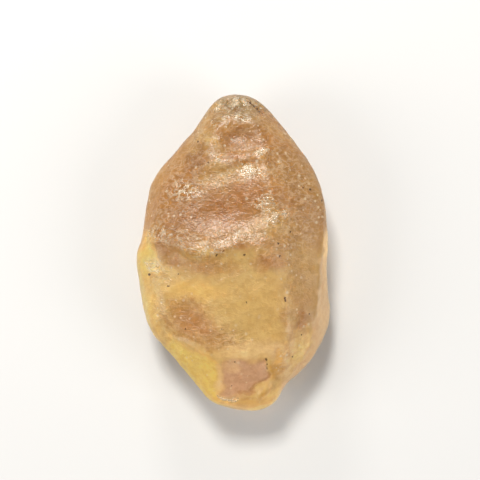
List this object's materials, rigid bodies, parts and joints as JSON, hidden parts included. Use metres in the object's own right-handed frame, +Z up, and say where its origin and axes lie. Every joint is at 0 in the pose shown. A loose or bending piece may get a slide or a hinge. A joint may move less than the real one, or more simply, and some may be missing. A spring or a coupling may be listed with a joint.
{
  "type": "raw desert glass pebble",
  "caption": "Raw, wind-worn pebble of pale yellow natural glass, a long pointed oval with scooped facets and an etched, frosted skin.",
  "frame": {"origin": "centre of the bounding box in X and Y, on the surface that the stone rests on", "axes": "+Z up out of the best face; +Y along the stone's length towards the narrow chipped tip; +X to the right with the face towards the viewer and the tip up"},
  "size_m": [0.026, 0.042, 0.0144],
  "materials": {
    "desert_glass": "frosted translucent, wind-etched"
  },
  "bodies": {
    "root": {"glass_pebble": "desert_glass"}
  },
  "joints": []
}
